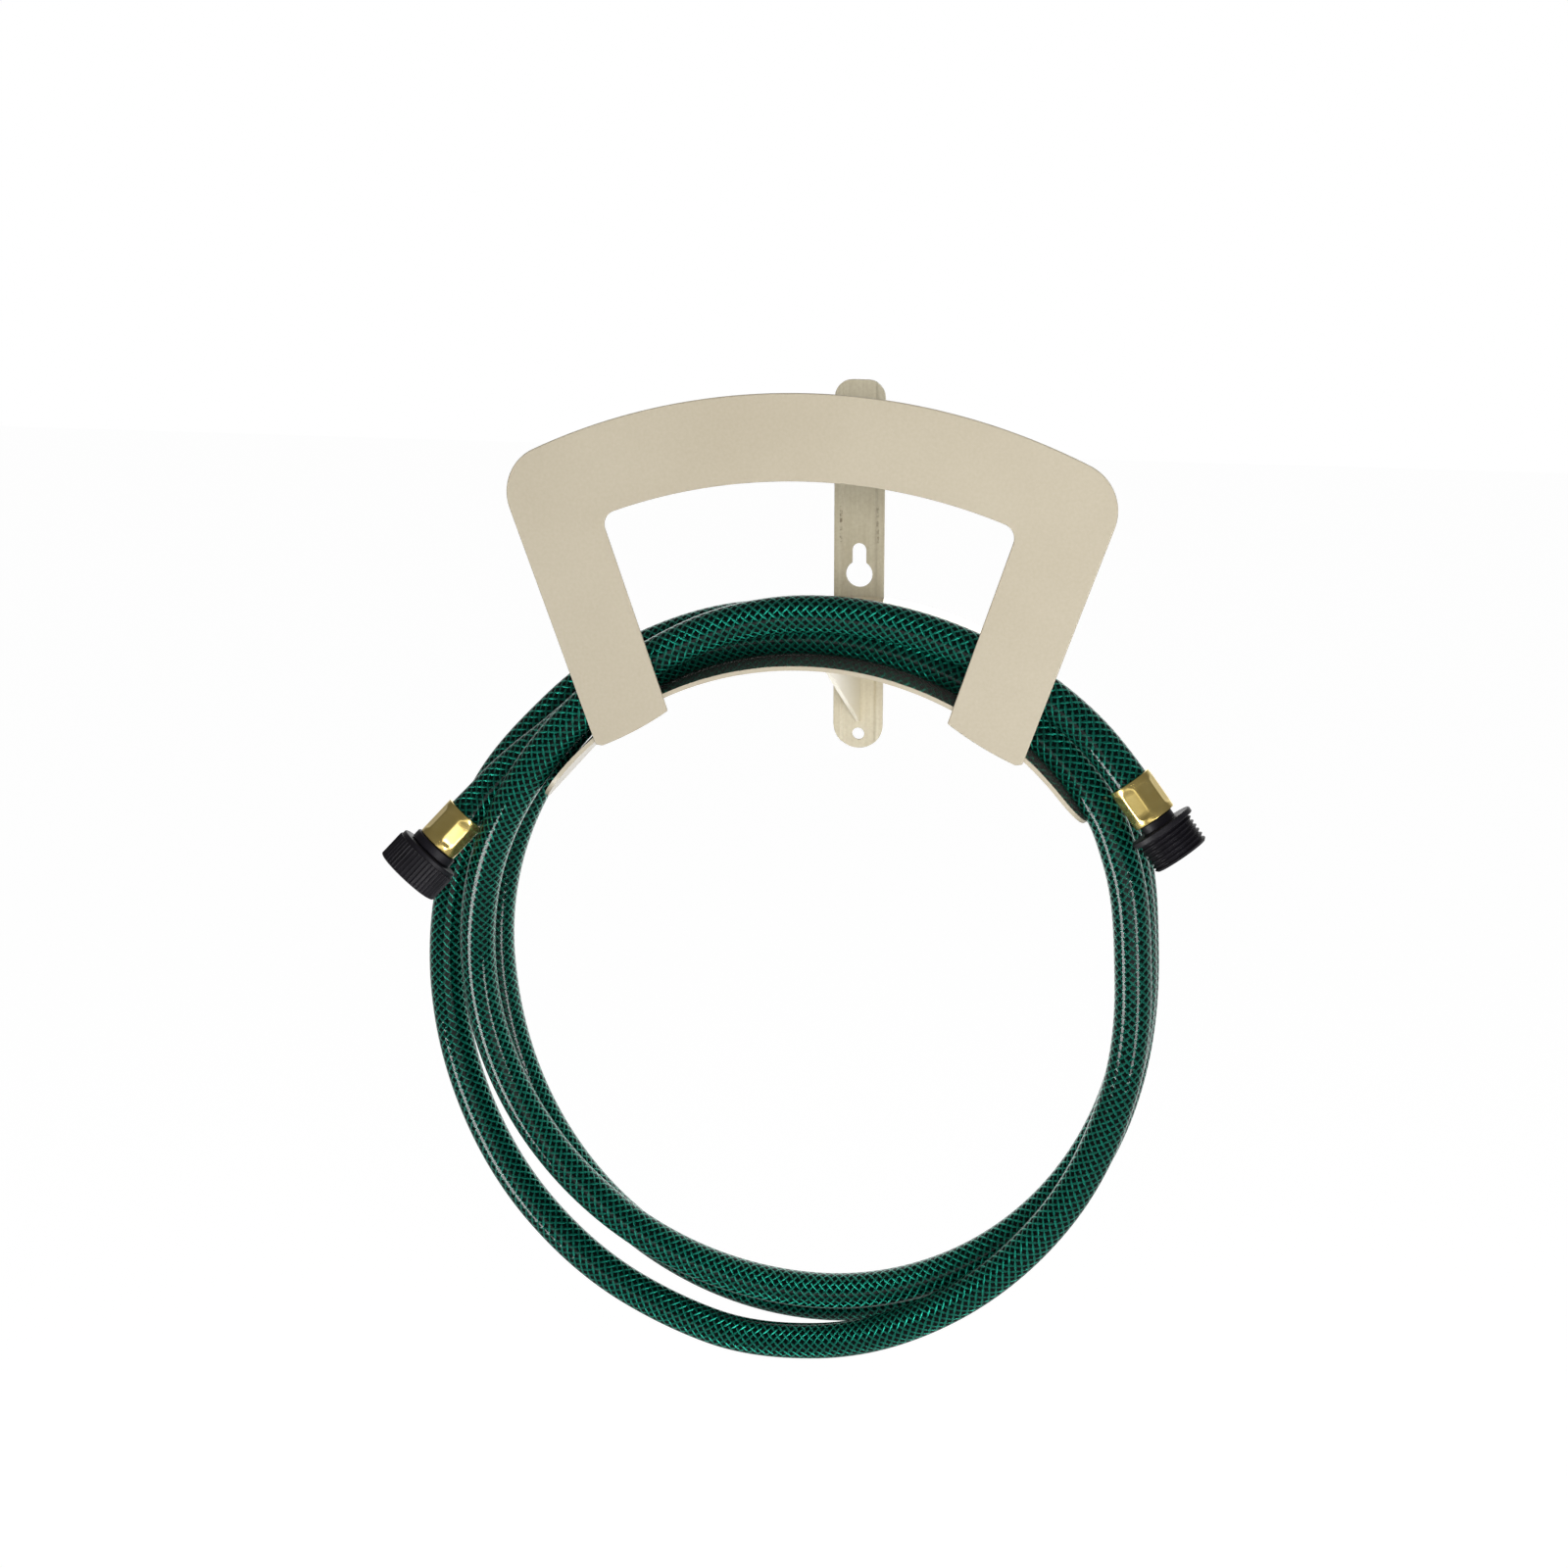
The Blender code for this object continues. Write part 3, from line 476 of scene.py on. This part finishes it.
def male_thread(radius, height, turn):
    """A 60 degree thread with narrow flat crests and roots, cut along the helix."""
    start, end = MALE_THREAD_START * MM, MALE_THREAD_END * MM
    if abs(radius - MALE_CREST * MM) > 0.01 * MM or not start < height < end:
        return radius
    phase = ((height - start) / (THREAD_PITCH * MM) - turn / (2 * pi)) % 1.0
    groove = min(max(1.25 * abs(2 * phase - 1) - 0.12, 0.0), 1.0)
    run_out = min((height - start) / (0.8 * MM), (end - height) / (0.5 * MM), 1.0)
    return radius - THREAD_DEPTH * MM * groove * run_out


# Black moulded nylon: near-black with a cool cast, a soft sheen from the mould's fine texture and
# small dull patches where it has been handled
plastic, tree = new_material("moulded_black_nylon")
place = add(tree, "ShaderNodeTexCoord").outputs["Object"]
patches = noise(tree, place, 220.0, 3.0)
grain = noise(tree, place, 2600.0, 2.0)
tint = blend(tree, patches, linear("#0D0C10"), linear("#1A181E"))
dull = rescale(tree, patches, 0.0, 1.0, 0.42, 0.58)
mould = bump(tree, grain, 0.25, 0.03 * MM)
surface(tree, {"Base Color": tint, "Roughness": dull, "Normal": mould}, {"IOR": 1.38})

spigot = turned_piece("male_coupling", tuple(male_profile), 72)
reshape(spigot, male_thread)
fit(spigot, plastic, "hose_coil", "male_fitting", MALE_ENTRY, MALE_OUT, smooth_below=38)

# Female stem
# The other barbed stem has a collar against the ferrule, a neck on which the nut turns, and a flange
# inside the nut that holds it on and carries the washer.
stem_profile = (
    *BARBED_STEM, (5.25, 20.1), (10.85, 20.1), (11.25, 20.5), (11.25, 24.0), (10.85, 24.4), (8.0, 24.4),
    (8.0, 28.0), (11.1, 28.0), (11.4, 28.3), (11.4, 29.9), (11.1, 30.2), (4.25, 30.2),
)
stem = turned_piece("female_collar_and_stem", stem_profile, 72)
fit(stem, plastic, "hose_coil", "female_stem", FEMALE_ENTRY, FEMALE_OUT)

# Swivel nut
# A black moulded nut with 48 fine straight grip ribs, a plain shoulder towards the hose and a female
# garden hose thread inside. It turns freely on the stem's neck, and its heights are from its shoulder.
NUT_START = 24.7
NUT_RADIUS = 16.25
NUT_RIBS = 48
RIB_DEPTH = 0.5
NUT_BORE = 13.0
NUT_THREAD_START = 9.1
NUT_THREAD_END = 15.8
NUT_THREAD_LENGTH = 6.6
NUT_THREAD_DEPTH = 0.75
NUT_THREAD_ROWS = 40

nut_profile = [
    (8.3, 0.0), (14.6, 0.0), (15.2, 0.2), (15.5, 0.6), (15.55, 2.0), (15.7, 2.3), (16.1, 2.5), (16.2, 2.8),
    (NUT_RADIUS, 3.2), (NUT_RADIUS, 6.5), (NUT_RADIUS, 11.0), (NUT_RADIUS, 15.2), (16.1, 15.7), (15.5, 16.0),
    (14.8, 16.2), (13.4, 16.2), (NUT_BORE, NUT_THREAD_END),
]
for i in range(1, NUT_THREAD_ROWS + 1):
    nut_profile.append((NUT_BORE, NUT_THREAD_END - NUT_THREAD_LENGTH * i / NUT_THREAD_ROWS))
nut_profile += [(NUT_BORE, 3.0), (8.3, 3.0)]


def ribs_and_thread(radius, height, turn):
    """Grip ribs pressed in round the outside, and the thread cut along its helix inside."""
    if radius > 15.0 * MM:
        place = (turn * NUT_RIBS / (2 * pi)) % 1.0
        slope = min(max(3.2 - 6.4 * abs(place - 0.5), 0.0), 1.0)
        fade = min(max((height - 2.1 * MM) / (0.9 * MM), 0.0), 1.0)
        return radius - RIB_DEPTH * MM * slope * fade * (0.6 if height > 15.6 * MM else 1.0)
    start, end = NUT_THREAD_START * MM, NUT_THREAD_END * MM
    if abs(radius - NUT_BORE * MM) < 0.01 * MM and start < height < end:
        phase = (height / (THREAD_PITCH * MM) + turn / (2 * pi)) % 1.0
        ridge = min(max(1.25 * abs(2 * phase - 1) - 0.12, 0.0), 1.0)
        fade = min((height - start) / (1.5 * MM), (end - height) / (0.8 * MM), 1.0)
        return radius - NUT_THREAD_DEPTH * MM * ridge * fade
    return radius


nut = turned_piece("swivel_nut_ribbed", tuple(nut_profile), 384)
reshape(nut, ribs_and_thread)
nut_place = FEMALE_ENTRY + FEMALE_OUT * NUT_START * MM
fit(nut, plastic, "nut", "swivel_nut", nut_place, FEMALE_OUT, smooth_below=32)

# Hose washer
# A flat ring of black rubber on the stem's flange, with rounded edges. It seals against the tap.
WASHER_START = 30.5
washer_profile = (
    (6.5, 0.3), (6.8, 0.0), (12.3, 0.0), (12.6, 0.3), (12.6, 2.7), (12.3, 3.0), (6.8, 3.0), (6.5, 2.7),
)
washer = turned_piece("rubber_washer", washer_profile, 64)

# Nitrile rubber: dark grey and matt, slightly mottled
rubber, tree = new_material("nitrile_rubber")
place = add(tree, "ShaderNodeTexCoord").outputs["Object"]
mottle = noise(tree, place, 900.0, 3.0)
tint = blend(tree, mottle, linear("#1E1E1E"), linear("#303030"))
pitted = bump(tree, mottle, 0.3, 0.05 * MM)
surface(tree, {"Base Color": tint, "Normal": pitted}, {"Roughness": 0.75, "IOR": 1.52})
washer_place = FEMALE_ENTRY + FEMALE_OUT * WASHER_START * MM
fit(washer, rubber, "nut", "hose_washer", washer_place, FEMALE_OUT)

# Front plate
# The arch is blanked from 1.5 mm sheet steel with both its legs. Its cut edges are rounded by the
# tumbling, and it is welded to the saddle's front edge behind the legs.
PLATE_BACK = -153.1
PLATE_SHEET = 1.5
PLATE_EDGE = 0.6 * MM
OUTER_LEAN = 0.3496
INNER_LEAN = 0.334


def arc(centre, radius, start, end, count):
    """Points on an arc, both ends included."""
    return [centre + radius * Vector((cos(a), sin(a))) for a in np.linspace(start, end, count)]


def arch_and_corner(apex, radius, leg_x, lean, fillet, crown_points, corner_points):
    """The right half of an arch, from its crown down to the fillet where it meets the leg's edge."""
    centre = Vector((0.0, apex - radius))
    along = Vector((lean, 1.0)).normalized()
    inward = Vector((-along.y, along.x))
    start = Vector((leg_x, 0.0)) + inward * fillet - centre
    ahead = start.dot(along)
    middle = start + along * (sqrt(ahead**2 - start.length_squared + (radius - fillet) ** 2) - ahead)
    turn_from = atan2(middle.y, middle.x)
    turn_to = atan2(-inward.y, -inward.x)
    crown = arc(centre, radius, pi / 2, turn_from, crown_points)
    return crown[:-1] + arc(centre + middle, fillet, turn_from, turn_to, corner_points)


def foot(outer, inner, lean, bow, corner, steps):
    """The slightly bowed lower edge of the right leg, from its outer to its inner corner."""
    across = inner - outer
    down = Vector((-across.y, across.x)).normalized()
    points = [outer + Vector((lean, 1.0)).normalized() * corner]
    points += [outer + across * t + down * bow * 4 * t * (1 - t) for t in np.arange(1, steps) / steps]
    return points + [inner]


right_half = arch_and_corner(
    apex=176.7, radius=286.0, leg_x=92.3, lean=OUTER_LEAN, fillet=22.0, crown_points=60, corner_points=24
)
right_half += foot(
    Vector((96.7, 12.6)), Vector((63.49, 31.4)), lean=OUTER_LEAN, bow=1.2, corner=1.6, steps=14
)
window = arch_and_corner(
    apex=137.9, radius=246.0, leg_x=53.0, lean=INNER_LEAN, fillet=6.5, crown_points=44, corner_points=14
)
right_half += window[::-1]
left_half = [Vector((-p.x, p.y)) for p in reversed(right_half)]
outline = right_half[:-1] + left_half[:-1]

bpy.ops.object.select_all(action="DESELECT")
bpy.ops.mesh.primitive_circle_add(vertices=len(outline), radius=0.1, fill_type="NGON")
plate = bpy.context.object
plate.name = "arched_front_plate"
for corner, point in zip(plate.data.vertices, outline):
    corner.co = (point.x * MM, PLATE_BACK * MM, point.y * MM)
bpy.ops.object.mode_set(mode="EDIT")
bpy.ops.mesh.select_all(action="SELECT")
bpy.ops.mesh.extrude_region_move(TRANSFORM_OT_translate={"value": (0.0, -PLATE_SHEET * MM, 0.0)})
bpy.ops.mesh.select_all(action="SELECT")
bpy.ops.mesh.normals_make_consistent(inside=False)
bpy.ops.object.mode_set(mode="OBJECT")


def round_edges(piece, width):
    """Every cut edge of a sheet rounded to that width."""
    bpy.context.view_layer.objects.active = piece
    rounding = piece.modifiers.new("rounded_edges", "BEVEL")
    rounding.width = width
    rounding.segments = 3
    rounding.limit_method = "ANGLE"
    rounding.angle_limit = radians(32)
    bpy.ops.object.modifier_apply(modifier=rounding.name)


def powder_coat(name, dark, light, gloss, grain=(1.0, 1.0, 1.0)):
    """Sprayed and baked powder: an even colour over fine orange peel, with a thin clear gloss."""
    coat, tree = new_material(name)
    place = add(tree, "ShaderNodeTexCoord").outputs["Object"]
    drawn = add(tree, "ShaderNodeMapping", {0: place}, {"Scale": grain}).outputs[0]
    drift = noise(tree, drawn, 14.0, 3.0)
    speckle = noise(tree, place, 700.0, 3.0)
    peel = noise(tree, place, 420.0, 2.0)
    share = maths(tree, "ADD", maths(tree, "MULTIPLY", drift, 0.55), maths(tree, "MULTIPLY", speckle, 0.45))
    tint = blend(tree, rescale(tree, share, 0.3, 0.7), linear(dark), linear(light))
    skin = bump(tree, peel, 0.25, 0.05 * MM)
    surface(
        tree,
        {"Base Color": tint, "Normal": skin},
        {"Roughness": 0.45, "IOR": 1.5, "Coat Weight": gloss, "Coat Roughness": 0.18},
    )
    return coat


tan_coat = powder_coat("tan_powder_coat", "#ABA18C", "#B5AC98", 0.12)
round_edges(plate, PLATE_EDGE)
fit(plate, tan_coat, "hanger", "front_plate", smooth_below=40, flat=True)

# Saddle
# A 2 mm sheet rolled to an arc of 116 degrees, on which the hose lies. Its corners are rounded, 20 mm
# in front and 8 mm at the wall.
SADDLE_RADIUS = 146.4
SADDLE_SHEET = 2.0
SADDLE_BACK = -3.2
SADDLE_FRONT = -152.8
SADDLE_EDGE = 0.45 * MM
FRONT_CORNER = 20.0
BACK_CORNER = 8.0
SADDLE_HALF_ARC = radians(58.2)
middle_radius = SADDLE_RADIUS + SADDLE_SHEET / 2
half_length = middle_radius * SADDLE_HALF_ARC
plain = half_length - FRONT_CORNER
last_stretch = plain + FRONT_CORNER * np.sin(np.radians(np.arange(5, 91, 5)))
columns = np.concatenate([-last_stretch[::-1], np.linspace(-plain, plain, 101), last_stretch])

bpy.ops.object.select_all(action="DESELECT")
bpy.ops.mesh.primitive_grid_add(x_subdivisions=len(columns) - 1, y_subdivisions=1, size=1.0)
saddle = bpy.context.object
saddle.name = "rolled_saddle"
for corner in saddle.data.vertices:
    place = columns[round((corner.co.x + 0.5) * (len(columns) - 1))]
    at_front = corner.co.y < 0.0
    radius = FRONT_CORNER if at_front else BACK_CORNER
    beyond = max(0.0, abs(place) - (half_length - radius))
    cut = radius - sqrt(max(0.0, radius**2 - beyond**2))
    depth = SADDLE_FRONT + cut if at_front else SADDLE_BACK - cut
    turn = place / middle_radius
    across, height = SADDLE_RADIUS * MM * sin(turn), SADDLE_RADIUS * MM * cos(turn)
    corner.co = (across, depth * MM, SADDLE_CENTRE_Z + height)
thickness = saddle.modifiers.new("sheet", "SOLIDIFY")
thickness.thickness = SADDLE_SHEET * MM
thickness.offset = 1.0
bpy.ops.object.modifier_apply(modifier=thickness.name)
round_edges(saddle, SADDLE_EDGE)
fit(saddle, tan_coat, "hanger", "saddle", smooth_below=40, flat=True)

# The saddle's top takes a paler, more mirror-like finish than the tan coat of its edges: painted light for
# the bright highlight on it and the hose's dark reflection. It is a satin cream at the wall, and a warm
# mirror from 74 to 84 mm off the wall on
bright, tree = new_material("saddle_top_painted_highlight")
place = add(tree, "ShaderNodeTexCoord").outputs["Object"]
haze = noise(tree, place, 60.0, 3.0)
depth = add(tree, "ShaderNodeSeparateXYZ", {0: place}).outputs[1]
ragged = maths(tree, "ADD", depth, maths(tree, "MULTIPLY", maths(tree, "SUBTRACT", haze, 0.5), 16.0 * MM))
mirror_share = rescale(tree, ragged, -74.0 * MM, -84.0 * MM)
mirror = blend(tree, haze, linear("#E9E3D8"), linear("#F8F5EF"))
tint = blend(tree, mirror_share, linear("#EFE6D3"), mirror)
dull = rescale(tree, haze, 0.0, 1.0, 0.10, 0.18)
metal = rescale(tree, mirror_share, 0.0, 1.0, 0.6, 0.9)
surface(tree, {"Base Color": tint, "Roughness": dull, "Metallic": metal}, {})
saddle.data.materials.append(bright)
# Only the faces that look outwards from the arc, on top, take the paler painted-highlight finish
for face in saddle.data.polygons:
    outward = Vector((face.center.x, 0.0, face.center.z - SADDLE_CENTRE_Z)).normalized()
    face.material_index = int(face.normal.dot(outward) > 0.95)

# Brace and wall strap
# The triangular web carries the saddle from below. The strap is pressed so that its middle band lies
# on the wall and its sides stand off, with a keyhole and a screw hole punched through.


def sheet_piece(name, node):
    """A copy of a packed sheet with its facets joined."""
    bpy.ops.object.select_all(action="DESELECT")
    piece = bpy.data.objects.new(name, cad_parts[node].data.copy())
    scene.collection.objects.link(piece)
    piece.select_set(True)
    bpy.context.view_layer.objects.active = piece
    bpy.ops.object.mode_set(mode="EDIT")
    bpy.ops.mesh.select_all(action="SELECT")
    bpy.ops.mesh.remove_doubles(threshold=0.005 * MM)
    bpy.ops.mesh.dissolve_limited(angle_limit=radians(0.6))
    bpy.ops.object.mode_set(mode="OBJECT")
    return piece


# The strap's coat shows the strip's rolling lines and is rubbed brown on its folds above the keyhole. Its
# tan is painted lighter than the plate's: painted light that makes up for the shade the plate and hose cast
# on the strap
FOLD_FROM_MIDDLE = 9.1 * MM
FOLD_HALF_WIDTH = 0.6 * MM
RUBBED_HEIGHT = 90.0 * MM
RUBBED_REACH = 9.0 * MM
strap_coat_painted_lighter = powder_coat("strap_powder_coat_painted_lighter", "#BDB297", "#D2CAB2", 0.5, grain=(40.0, 1.0, 1.5))
tree = strap_coat_painted_lighter.node_tree
place = add(tree, "ShaderNodeTexCoord").outputs["Object"]
split = add(tree, "ShaderNodeSeparateXYZ", {0: place})
from_middle = maths(tree, "ABSOLUTE", split.outputs[0])
off_fold = maths(tree, "ABSOLUTE", maths(tree, "SUBTRACT", from_middle, FOLD_FROM_MIDDLE))
on_fold = maths(tree, "LESS_THAN", off_fold, FOLD_HALF_WIDTH)
height = maths(tree, "ABSOLUTE", maths(tree, "SUBTRACT", split.outputs[2], RUBBED_HEIGHT))
in_reach = maths(tree, "LESS_THAN", height, RUBBED_REACH)
bare = rescale(tree, noise(tree, place, 320.0, 2.0), 0.45, 0.6, 0.0, 0.8)
rubbed = maths(tree, "MULTIPLY", maths(tree, "MULTIPLY", on_fold, in_reach), bare)
colour_socket = tree.nodes["Principled BSDF"].inputs["Base Color"]
coated = colour_socket.links[0].from_socket
tree.links.new(blend(tree, rubbed, coated, linear("#6F6048")), colour_socket)

# The brace's coat is painted a paler cream than the plate's: painted light that stands in for the stronger
# light falling on its right face
brace_coat_painted_paler = powder_coat("brace_powder_coat_painted_paler", "#F1E7CC", "#F7EFD9", 0.5)

brace = sheet_piece("brace_web", "saddle_brace")
round_edges(brace, 0.3 * MM)
fit(brace, brace_coat_painted_paler, "hanger", "saddle_brace", smooth_below=40, flat=True)
strap = sheet_piece("pressed_wall_strap", "wall_strap")
round_edges(strap, 0.35 * MM)
fit(strap, strap_coat_painted_lighter, "hanger", "wall_strap", smooth_below=40, flat=True)

# Studio
# A white sweep lies behind and below. Two soft boxes in front give the light, and four boxes and
# cards that only show as reflections draw the lines along the hose and the facets of the brass.
world = bpy.data.worlds.new("studio")
scene.world = world
world.use_nodes = True
tree = world.node_tree
tree.nodes.clear()
light_path = add(tree, "ShaderNodeLightPath")
towards = add(tree, "ShaderNodeTexCoord").outputs["Generated"]
split = add(tree, "ShaderNodeSeparateXYZ", {0: towards})
ceiling = rescale(tree, split.outputs[2], 0.0, 0.8, 0.45, 0.25)
mirrored = rescale(tree, split.outputs[1], 0.55, 0.95, 0.13, 1.0)
glossy = light_path.outputs["Is Glossy Ray"]
room = add(tree, "ShaderNodeMix", {0: glossy, 2: ceiling, 3: mirrored}).outputs[0]
seen = maths(tree, "MAXIMUM", light_path.outputs["Is Camera Ray"], light_path.outputs["Is Transmission Ray"])
white = add(tree, "ShaderNodeBackground", values={0: (1.0, 1.0, 1.0, 1.0), 1: 1.0})
soft = add(tree, "ShaderNodeBackground", {1: room}, {0: (1.0, 1.0, 1.0, 1.0)})
mixed = add(tree, "ShaderNodeMixShader", {0: seen, 1: soft.outputs[0], 2: white.outputs[0]})
add(tree, "ShaderNodeOutputWorld", {0: mixed.outputs[0]})

# Each lamp's place, width, height and power, and whether it lights or only shows as a reflection
AIM = Vector((0.0, -0.1, -0.05))
for name, place, width, height, power, lights in (
    ("front_right_box", (0.75, -1.2, -0.3), 1.0, 0.8, 8.5, True),
    ("lens_side_box", (0.217, -1.45, 0.37), 0.3, 0.3, 12.0, True),
    ("low_left_box", (-0.84, -0.84, -0.78), 0.38, 0.66, 17.0, False),
    ("low_right_box", (0.85, -1.13, -0.46), 0.25, 0.5, 6.5, False),
    ("front_card", (0.2, -1.35, -0.33), 1.2, 0.35, 1.8, False),
    ("back_card", (0.0, 0.4, -0.1), 0.7, 0.7, 1.5, False),
):
    lamp_data = bpy.data.lights.new(name, "AREA")
    lamp_data.shape = "RECTANGLE"
    lamp_data.size = width
    lamp_data.size_y = height
    lamp_data.energy = power
    lamp = bpy.data.objects.new(name, lamp_data)
    scene.collection.objects.link(lamp)
    lamp.location = place
    lamp.rotation_euler = (AIM - Vector(place)).to_track_quat("-Z", "Y").to_euler()
    lamp.visible_camera = False
    lamp.visible_diffuse = lights
    lamp.visible_glossy = not lights

floor_material, tree = new_material("white_sweep")
light_path = add(tree, "ShaderNodeLightPath")
place = add(tree, "ShaderNodeTexCoord").outputs["Object"]
ahead = add(tree, "ShaderNodeSeparateXYZ", {0: place}).outputs[1]
# For reflections the sweep glows from 0.2 in front to 0.8 behind: painted shade on its front. To the camera
# it glows 0.92 over its grey paper, and to diffuse rays it glows 0.5, which lights the hanger from below
behind = rescale(tree, ahead, 0.1, 0.9, 0.2, 0.8)
seen = maths(tree, "MAXIMUM", light_path.outputs["Is Camera Ray"], light_path.outputs["Is Transmission Ray"])
white = maths(tree, "MULTIPLY", seen, 0.92)
mirrored = maths(tree, "MULTIPLY", light_path.outputs["Is Glossy Ray"], behind)
bounced = maths(tree, "MULTIPLY", light_path.outputs["Is Diffuse Ray"], 0.5)
level = maths(tree, "MAXIMUM", white, maths(tree, "MAXIMUM", mirrored, bounced))
paper = add(tree, "ShaderNodeBsdfDiffuse", values={0: linear("#828282")})
glow = add(tree, "ShaderNodeEmission", {1: level})
both = add(tree, "ShaderNodeAddShader", {0: paper.outputs[0], 1: glow.outputs[0]})
add(tree, "ShaderNodeOutputMaterial", {0: both.outputs[0]})
bpy.ops.object.select_all(action="DESELECT")
bpy.ops.mesh.primitive_plane_add(size=12.0, location=(0.0, 0.0, -0.9))
floor = bpy.context.object
floor.name = "floor"
floor.data.materials.append(floor_material)
